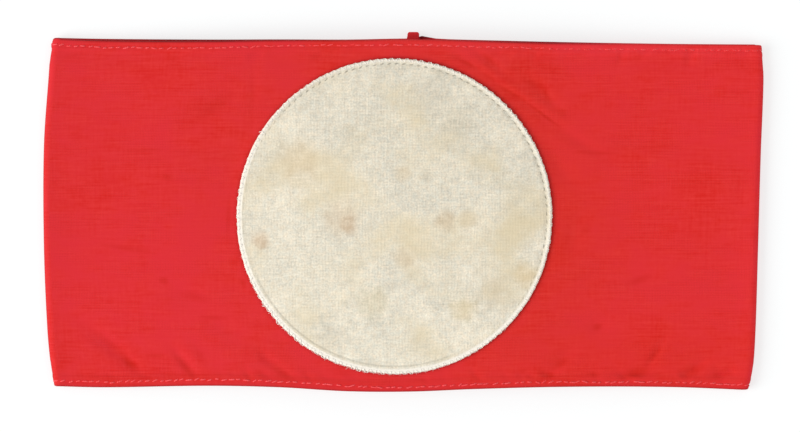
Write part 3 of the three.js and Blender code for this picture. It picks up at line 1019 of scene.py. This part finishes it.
def hem_stitches(ring, outward, hem):
    """Slanted dashes along a ring, their centres about one pitch apart. Over t from -1 to 1 along
    a dash, its height is its radius times 1 - 1.4 t^6, less what it is sunk. A dash that faces
    the table is pressed in by one radius."""
    reach = reach_round(ring)
    count = int(reach[-1] / STITCH_PITCH)
    t = np.linspace(-1, 1, DASH_POINTS)
    centre = (np.arange(count) + 0.5) * reach[-1] / count + stray("along", count)
    half_length = STITCH_LENGTH / 2 * (1 + stray("length", count).clip(-0.5, 0.3))
    slant = np.radians(SLANTS[hem] + stray("slant", count))
    at = centre[:, None] + t * (half_length * np.cos(slant))[:, None]
    base = along_ring(ring, reach, at)
    normal = unit(along_ring(outward, reach, at))
    shows = through(HEM_LOOKS, hem, base[:, DASH_POINTS // 2, 0]) + stray("sunk", count)
    sunk = np.clip(1 - shows, 0, 1)
    aside = through(HEM_LOOKS, hem + "_aside", base[..., 0]) + stray("across", count, 1)
    base[..., 1] += t * (half_length * np.sin(slant))[:, None] + aside
    pressed = (normal[..., 2:] < -0.5) & (base[..., 2:] < FOLD_RADIUS)
    rise = (1.0 - 1.4 * t**6 - 0.9 * sunk[:, None])[..., None] - pressed
    return base + normal * rise * THREAD_RADIUS, normal, sunk


row_of = {hem: int(np.argmin(np.abs(row_e - line))) for hem, line in STITCH_LINES.items()}
row_of["upper"] = len(row_e) - 1 - row_of["upper"]
dashes = []
for grid, outward in ((outer, -inward), (inner, inward)):
    dashes += [hem_stitches(grid[row], outward[row], hem) for hem, row in row_of.items()]
paths, ups, sunk = (np.concatenate(part) for part in zip(*dashes))
sunk = np.repeat(sunk, paths.shape[1] * SIDES)
hem_thread = put_piece("hem_stitches", red_thread, *sweep(paths, THREAD_RADIUS, ups), soil_and_shade=sunk)

# %% [markdown]
# ## Off-white patch cloth
#
# The patch is a finer plain weave, once white and now slightly yellow, with cloudy patches and a
# few old stains, and it is painted a little darker towards the top, which is painted shade. A stain
# is a smooth step over the distance from its middle, and noise breaks up its edge. Near its edge
# the cloth is paler, most at the lower left, partly a cleaner turned edge and partly a painted
# highlight. The needle holes inside the rim are dots of painted shade at nearly equal angles: the
# distance to the nearest one is worked out from the angle round the patch and the distance from
# its centre. They show most at the upper right, where the thread was pulled tight. At the lower
# left it is slack, and only a thin line of painted shade runs inside the holes.

# %% Colours and stains of the patch's cloth
WEAVE_PITCH = 0.42
OFF_WHITE = {"cool": (0.655, 0.628, 0.528, 1), "warm": (0.715, 0.635, 0.500, 1)}
YELLOWED = (0.66, 0.55, 0.35, 1)
STREAK_TURN = math.radians(42)
STAINS = table(
    "x y radius strength colour",
    (-40.5,  -8.1, 2.2, 0.60, (0.48, 0.30, 0.16, 1)),
    (-29.2,  13.9, 5.5, 0.36, (0.62, 0.44, 0.22, 1)),
    (-17.5,  -2.0, 4.4, 0.40, (0.60, 0.42, 0.24, 1)),
    (-15.3,  -3.9, 2.2, 0.50, (0.46, 0.30, 0.17, 1)),
    ( -0.2,  10.8, 2.0, 0.40, (0.58, 0.42, 0.22, 1)),
    (  0.4, -13.2, 2.8, 0.40, (0.52, 0.38, 0.22, 1)),
    ( 11.8,  -2.5, 2.6, 0.55, (0.48, 0.34, 0.18, 1)),
    ( 18.1,  -2.4, 2.2, 0.42, (0.56, 0.42, 0.22, 1)),
    ( 16.8, -27.7, 3.2, 0.45, (0.60, 0.45, 0.20, 1)),
    ( 25.6, -23.2, 4.4, 0.34, (0.50, 0.40, 0.26, 1)),
    ( 34.5, -18.2, 2.8, 0.48, (0.62, 0.44, 0.20, 1)),
    ( -8.4, -25.7, 4.0, 0.36, (0.56, 0.46, 0.24, 1)),
    (-20.0, -35.0, 5.0, 0.25, (0.42, 0.38, 0.30, 1)),
    ( 15.5,  25.2, 4.0, 0.30, (0.50, 0.42, 0.28, 1)),
    (  8.0,  32.8, 4.4, 0.28, (0.48, 0.42, 0.32, 1)),
)
# Paler cloth on the turned edge: partly a cleaner edge, partly a painted highlight.
CLEAN_AND_LIT_EDGE = (0.86, 0.81, 0.72, 1)
HOLE_COUNT = 124
HOLE_DRIFT, DRIFT_TURN = 0.6, math.radians(200)
HOLE_RING = PATCH_RADIUS - 1.55
HOLE_LENGTH, HOLE_WIDTH = 0.55, 0.17
# Dark of the needle holes, which is painted shade.
HOLE_SHADE = (0.14, 0.125, 0.095, 1)
TIGHT_TURN, SLACK_TURN = math.radians(62), math.radians(250)
SLACK_LINE, SLACK_WIDTH = -0.65, 0.25
OFF_WHITE_RELIEF = 0.06 * MM
print(len(STAINS), "stains and", HOLE_COUNT, "needle holes")


# %% The patch's cloth
def patch_cotton():
    """Two sines for the weave, clouds of yellow, stains with broken edges, a ring of holes. The
    tone is 1 plus a weighted sum of the noises, and falls a little towards the top as painted
    shade. A hole's painted shade is a smooth step over (across / width)^2 + (along / length)^2."""
    cloth = Finish("patch_cotton", roughness=0.9, sheen=0.08)
    place = cloth.node("ShaderNodeUVMap", {"uv_map": "cloth"})
    x, y, _ = cloth.split(place)
    threads = cloth.noise(place, 1.0, 3.0, squeeze=(1.7, 0.25, 1))
    cross = cloth.noise(place, 1.0, 3.0, squeeze=(0.25, 1.7, 1))
    grain = cloth.noise(place, 2.0, 2.0)
    clouds = cloth.noise(place, 0.07, 4.0)
    fine = cloth.noise(place, 0.36, 4.0)
    weave = (x + clouds).wave(WEAVE_PITCH) + (y + clouds).wave(WEAVE_PITCH)
    lengthwise = toward(x, y, STREAK_TURN)
    crosswise = toward(x, y, STREAK_TURN + math.pi / 2)
    streak_place = cloth.node("ShaderNodeCombineXYZ", None, {0: lengthwise * 0.12, 1: crosswise * 0.4})
    streaks = cloth.noise(streak_place, 1.0, 3.0)
    tone = 1.0 + (clouds - 0.5) * 0.36 + (fine - 0.5) * 0.34 + (streaks - 0.5) * 0.18 + weave * 0.006
    # The last term is painted shade: the patch darker towards the top.
    tone = tone + (threads - 0.5) * 0.30 + (cross - 0.5) * 0.30 + (grain - 0.5) * 0.60 - y * 0.0011
    warm = cloth.noise(place, 0.8, 5.0)
    warmth = 0.5 + (warm - 0.5) * 2.8 + (clouds - 0.5) * 0.6
    colour = cloth.mix(warmth, OFF_WHITE["cool"], OFF_WHITE["warm"])
    yellow = cloth.noise(place, 0.05, 3.0, squeeze=(0.9, 1.1, 1)).ramp(0.42, 0.75)
    colour = cloth.mix(yellow * 0.75, cloth.shaded(colour, tone), YELLOWED)
    ragged = (fine - 0.5) * 3.0 + (warm - 0.5) * 3.0
    for stain in STAINS:
        away = (x - stain["x"]) * (x - stain["x"]) + (y - stain["y"]) * (y - stain["y"])
        inside = (away / stain["radius"] ** 2 + ragged).ramp(2.4, -0.9)
        colour = cloth.mix(inside * stain["strength"], colour, stain["colour"])
    dx, dy = x - PATCH_X, y - PATCH_Y
    past_ring = (dx * dx + dy * dy).root() - HOLE_RING
    tight = toward(dx, dy, TIGHT_TURN).ramp(-18.0, 24.0)
    # Painted highlight and cleaner cloth on the turned edge, most at the lower left.
    clean_and_lit = (past_ring - tight * 0.5).ramp(-0.2, 0.5) * (0.9 - tight * 0.45)
    colour = cloth.mix(clean_and_lit, colour, CLEAN_AND_LIT_EDGE)
    turn = dy.turn_from(dx)
    holes = turn * (HOLE_COUNT / (2 * math.pi)) + (turn * 2 - DRIFT_TURN).sine() * HOLE_DRIFT
    nearest = (holes.fraction() - 0.5) * (2 * math.pi * HOLE_RING / HOLE_COUNT)
    askew = (past_ring + nearest * 0.2 + (threads - 0.5) * 0.6 + (warm - 0.5) * 0.7) / HOLE_WIDTH
    along_hole = nearest / HOLE_LENGTH
    # The needle holes are painted shade, strongest where the thread is tight.
    hole = (askew * askew + along_hole * along_hole).ramp(2.0, 0.2) * (cross + fine * 0.6 - 0.1)
    colour = cloth.mix(hole * (tight * 0.65 + 0.1), colour, HOLE_SHADE)
    # A thin line of painted shade inside the holes where the thread is slack.
    slack = toward(dx, dy, SLACK_TURN).ramp(24.0, 38.0)
    off_line = (past_ring - SLACK_LINE + (threads - 0.5) * 0.3) / SLACK_WIDTH
    line = (off_line * off_line).ramp(1.6, 0.2) * slack * (cross + fine * 0.6 - 0.1)
    colour = cloth.mix(line * 0.30, colour, HOLE_SHADE)
    height = weave * 0.2 + threads * 0.6 + cross * 0.5 + grain * 0.4 + fine * 0.8 + streaks * 2.0 - hole
    return cloth.finish(colour, height, OFF_WHITE_RELIEF)


off_white = patch_cotton()
print("patch cotton:", len(off_white.node_tree.nodes), "nodes")

# %% [markdown]
# ## The round patch
#
# The patch is a disc of cloth whose edge is turned under, so it ends in a small roll beside a
# groove where the needle went through. It is turned like a dish: one profile of distance and
# height, from the middle underneath, round the roll and back over the top, is carried round the
# centre. A flat disc could be laid on with a Shrinkwrap modifier, but then its edge would be no
# roll. Under it the front layer gives the height, so the patch follows the arch. It domes a
# little between its stitches and has a few soft creases. The groove is deep at the upper right,
# where the thread is tight, and turns into a low ridge at the lower left.

# %% Profile of the patch
ROLL_CENTRE, ROLL_HEIGHT, ROLL_RADIUS = PATCH_RADIUS - 0.55, 0.42, 0.46
PATCH_CLOTH, PATCH_LIFT, TOP_LIFT = 0.6, 0.06, 0.14
PATCH_DOME = 0.7
PATCH_GROOVE, SLACK_RIDGE, PATCH_GROOVE_WIDTH = 0.26, 0.12, 0.4
NEAR_HOLES = [0.42, 0.22, 0.08, -0.08, -0.3, -0.7, -1.2]
SECTORS = 400
CREASES = table(
    "x y turn length width height",
    (-22, -33,  24, 17, 1.3,  0.16),
    (-17, -38,  32, 14, 1.1, -0.14),
    (-30, -25,  18, 12, 1.2, -0.12),
    ( 14,  33,  38, 15, 1.5,  0.14),
    ( 22,  26,  30, 12, 1.2, -0.12),
    (-31,  12,  58, 16, 1.6, -0.12),
    ( 32, -14,  66, 14, 1.6,  0.12),
    (  4, -14,  12, 22, 2.4,  0.10),
    ( -4,  18, -20, 20, 2.2, -0.10),
)

roll_turn = np.radians(np.arange(-70, 111, 18))
roll_r = ROLL_CENTRE + ROLL_RADIUS * np.cos(roll_turn)
roll = np.stack([roll_r, ROLL_HEIGHT + ROLL_RADIUS * np.sin(roll_turn)])
over_r = np.concatenate([HOLE_RING + np.array(NEAR_HOLES), np.linspace(41.5, 0.6, 52)])
over = np.stack([over_r, np.full_like(over_r, PATCH_CLOTH + TOP_LIFT)])
under_r = np.concatenate([np.linspace(0.6, 42.0, 24), [PATCH_RADIUS - 0.5]])
under = np.stack([under_r, np.full_like(under_r, PATCH_LIFT)])
profile = np.hstack([under, roll, over])
print("profile of", profile.shape[1], "points")


# %% Points of the patch
def on_circle(r, turn):
    """x and y at a distance and an angle from the patch's middle."""
    return PATCH_X + r * np.cos(turn), PATCH_Y + r * np.sin(turn)


def patch_surface(r, height, turn):
    """Each profile point carried round the centre and lifted onto the front layer, with the dome
    1 - (r/R)^2 and the creases. Its edge wavers by a product of two sines and a third one."""
    wobble = 0.10 * np.sin(5 * turn + 1.0) * np.sin(3 * turn) + 0.05 * np.sin(31 * turn)
    reach = r + wobble * smoothstep(30, PATCH_RADIUS, r)
    x, y = on_circle(reach, turn)
    lift = np.maximum(1 - (r / HOLE_RING) ** 2, 0)
    tight = smoothstep(-0.40, 0.55, np.cos(turn - TIGHT_TURN))
    groove = (PATCH_GROOVE * tight - SLACK_RIDGE) * bell((r - HOLE_RING) / PATCH_GROOVE_WIDTH)
    rise = height - groove * (height > PATCH_CLOTH)
    rise = rise + lift * PATCH_DOME + lift**0.3 * folds_at(CREASES, x, y)
    return np.dstack([x, y, front_at(x, y) + rise])


turn = np.linspace(0, 2 * math.pi, SECTORS, endpoint=False)
patch_grid = patch_surface(profile[0][:, None], profile[1][:, None], turn[None])
patch_faces = closed_body(point_numbers(patch_grid))
patch_points = patch_grid.reshape(-1, 3)
patch = put_piece("patch_cloth", off_white, patch_points, patch_faces, patch_points[:, :2])
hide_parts("round_patch")

# %% [markdown]
# ## The zigzag thread round the patch
#
# One white thread holds the patch. It comes up through a hole in the groove, crosses the roll,
# goes down into the band just past the edge, and back to the next hole. So it is a zigzag: the
# angle grows almost evenly while the thread swings over the roll and back, on a circle a little
# wider than the roll's own. On the lower left it was sewn slacker and stands further out.

# %% Zigzag thread
ZIGZAG_RADIUS = 0.13
ZIGZAG_POINTS = 9
ZIGZAG_GAP, ZIGZAG_NUDGE = 0.02, 0.07
SWING_START, SWING_END = 168, -32
OUTWARD_SHARE = 0.68
SLACK = {"least": 0.04, "more": 0.14, "middle": 240, "spread": 35}

t = np.linspace(0, 1, ZIGZAG_POINTS)
swing = np.radians(SWING_START + (SWING_END - SWING_START) * t)
hole_step = 2 * math.pi / HOLE_COUNT
stitch = np.arange(HOLE_COUNT)
share = np.stack([OUTWARD_SHARE * t, OUTWARD_SHARE + (1 - OUTWARD_SHARE) * t])
nudge = chance.normal(0, ZIGZAG_NUDGE, (HOLE_COUNT, 1, 1))
even_turn = (stitch[:, None, None] + 0.5 + share + nudge) * hole_step
leg_turn = even_turn - HOLE_DRIFT * np.sin(2 * even_turn - DRIFT_TURN) * hole_step
from_slack = (np.degrees(leg_turn.mean(axis=(1, 2))) - SLACK["middle"]) / SLACK["spread"]
stand = np.abs(chance.normal(0, 1, HOLE_COUNT)) * (SLACK["least"] + SLACK["more"] * bell(from_slack))
over_roll = np.broadcast_to(np.stack([swing, swing[::-1]]), leg_turn.shape)
level, rise = np.cos(over_roll), np.sin(over_roll)
reach = ROLL_RADIUS + ZIGZAG_GAP
r = ROLL_CENTRE + reach * level + np.clip(level, 0, 1) * stand[:, None, None]
x, y = on_circle(r, leg_turn)
z = front_at(x, y) + ROLL_HEIGHT + reach * rise
zigzag_paths = np.stack([x, y, z], axis=-1).reshape(-1, ZIGZAG_POINTS, 3)
off_roll = np.stack([np.cos(leg_turn) * level, np.sin(leg_turn) * level, rise], axis=-1)
off_roll = off_roll.reshape(-1, ZIGZAG_POINTS, 3)
zigzag = put_piece("patch_thread", white_thread, *sweep(zigzag_paths, ZIGZAG_RADIUS, off_roll))

# %% [markdown]
# ## Fringe
#
# The patch's turned edge and the slack thread on its lower left are frayed to a fine fringe, and
# two cut thread ends stick out at the left. A fibre is a very thin tube on a path of five points
# that leaves the edge outwards, bends a little to one side and sinks onto the band.

# %% The path of a fibre
FIBRE_RADIUS, FIBRE_SAG = 0.04, 0.6
FRAYED = {"middle": 245, "spread": 30, "count": 620, "length": 0.07}
ALL_ROUND = {"count": 160, "length": 0.055}
LOOSE_ENDS = table(
    "x y heading length bend",
    (-39.6,  22.6, 174, 1.3,  0.2),
    (-38.9, -26.8, 186, 1.2, -0.2),
)


def fibre_paths(start, heading, length, bend):
    """start + length x (t x heading + t^2 x bend sideways - t^2 x sag), never below the band."""
    t = np.linspace(0, 1, 5)[:, None]
    side = np.stack([-heading[:, 1], heading[:, 0], 0 * bend], axis=-1) * bend[:, None]
    path = start[:, None] + length[:, None, None] * (t * heading[:, None] + t * t * side[:, None])
    path[..., 2] -= FIBRE_SAG * length[:, None] * (t[:, 0] ** 2)
    lowest = front_at(path[..., 0], path[..., 1]) + FIBRE_RADIUS
    path[..., 2] = np.maximum(path[..., 2], lowest)
    return path


def headings(turn, rise):
    """Directions from their angle on the table and how much they rise."""
    return np.stack([np.cos(turn), np.sin(turn), rise + 0 * turn], axis=-1)


print(FRAYED["count"] + ALL_ROUND["count"], "fibres and", len(LOOSE_ENDS), "loose ends")

# %% Fibres round the patch
fibre_turn = np.radians(np.concatenate([
    chance.normal(FRAYED["middle"], FRAYED["spread"], FRAYED["count"]),
    chance.uniform(0, 360, ALL_ROUND["count"]),
]))
count = len(fibre_turn)
leaves_at = np.radians(chance.uniform(-25, 50, count))
r = ROLL_CENTRE + ROLL_RADIUS * np.cos(leaves_at)
x, y = on_circle(r, fibre_turn)
start = np.stack([x, y, front_at(x, y) + ROLL_HEIGHT + ROLL_RADIUS * np.sin(leaves_at)], axis=-1)
heading = headings(fibre_turn + chance.normal(0, 0.7, count), 0.3 * np.sin(leaves_at))
usual = np.where(np.arange(count) < FRAYED["count"], FRAYED["length"], ALL_ROUND["length"])
length = chance.gamma(3.0, 1.0, count) * usual
paths = fibre_paths(start, heading, length, chance.normal(0, 0.5, count))
fringe_parts = [sweep(paths, FIBRE_RADIUS, (0, 0, 1))]

ends = {name: np.array([row[name] for row in LOOSE_ENDS]) for name in LOOSE_ENDS[0]}
start = np.stack([ends["x"], ends["y"], front_at(ends["x"], ends["y"]) + 0.5], axis=-1)
heading = headings(np.radians(ends["heading"]), 0.1)
paths = fibre_paths(start, heading, ends["length"], ends["bend"])
fringe_parts.append(sweep(paths, ZIGZAG_RADIUS, (0, 0, 1)))
points, faces, places = zip(*fringe_parts)
faces = [faces[0], faces[1] + len(points[0])]
joined = (np.concatenate(part) for part in (points, faces, places))
fringe = put_piece("patch_fringe", white_thread, *joined)

# %% [markdown]
# ## The seam allowance
#
# Where the strip's two ends are joined, their cut edges lie together inside the loop, on the back
# layer. They were never trimmed flush, so their end stands out past the upper hem. Each is a long
# flat leaf with round corners: across, a flattened oval; along, the back layer's inner face, which
# steps up over both hems. The cut sides waver, as a cut by hand does. In the table of the leaves
# half is half a leaf's width, lift its height over the cloth, and short is what each end lacks.

# %% The form of a seam leaf
LEAF_SIDES = 20
LEAF_CORNER = 0.7
LEAF_TOP, LEAF_BOTTOM = 51.0, -50.2
LEAVES = table(
    "centre half lift thick short",
    (2.75, 1.74, 0.30, 0.5, 0.30),
    (2.80, 1.70, 0.85, 0.5,  0.0),
)


def leaf(centre, half, lift, thick, short, phase):
    """Oval rings along the seam: x from a superellipse, z from the hem steps plus the oval."""
    from_end = np.array([0.0, 0.05, 0.12, 0.22, 0.36, 0.52, LEAF_CORNER])
    top, bottom = LEAF_TOP - short, LEAF_BOTTOM + short
    middle = np.linspace(bottom + 1.6, top - 1.6, 90)
    y = np.concatenate([bottom + from_end, middle, (top - from_end)[::-1]])
    edge = np.minimum(y - bottom, top - y)
    in_corner = np.clip(LEAF_CORNER - edge, 0, LEAF_CORNER)
    corner = LEAF_CORNER - np.sqrt(LEAF_CORNER**2 - in_corner**2)
    waver = 0.09 * np.sin(y * 1.7 + phase) + 0.06 * np.sin(y * 4.1 + 2 * phase)
    rounding = np.sqrt(np.clip(1 - np.maximum(1 - edge / 0.25, 0) ** 2, 0.06, 1))
    upper = through(LONG_EDGES, "upper", SEAM_X)
    lower = through(LONG_EDGES, "lower", SEAM_X)
    e = np.minimum(y - lower, upper - y)
    base = CLOTH + (HEM_THICKNESS - CLOTH) * smoothstep(HEM_WIDTH + 1.6, HEM_WIDTH, e)
    angle = 2 * math.pi * np.arange(LEAF_SIDES) / LEAF_SIDES
    c, s = np.cos(angle), np.sin(angle)
    x = centre + (half - corner + waver)[:, None] * np.sign(c) * np.abs(c) ** 0.35
    z = (base + lift)[:, None] + thick / 2 * rounding[:, None] * np.sign(s) * np.abs(s) ** 0.6
    return np.dstack([x, np.broadcast_to(y[:, None], x.shape), z])


print(len(LEAVES), "leaves")

# %% Seam leaves
points, faces, start = [], [], 0
for number, row in enumerate(LEAVES):
    grid = leaf(phase=1.0 + number, **row)
    faces.append(start + closed_body(point_numbers(grid))[:, ::-1])
    points.append(grid.reshape(-1, 3))
    start += len(points[-1])
points, faces = np.concatenate(points), np.concatenate(faces)
seam_scarlet = scarlet_cotton("seam_scarlet", 1.5)
no_tint = np.ones_like(points)
seam = put_piece("seam_allowance", seam_scarlet, points, faces, points[:, [1, 0]], tint=no_tint)
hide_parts("back_seam")

# %% [markdown]
# ## The sizes the cloth was cut to
#
# The band and the patch are sheets of cloth.
# The band was cut 424 mm long, which is its girth and what the seam takes up at both ends, and
# 113 mm wide, which is its width and two turns at each hem. The patch was cut as a disc, wider by
# the edge that is turned under.

# %% [markdown]
# The dressed band has to have the packed model's size.
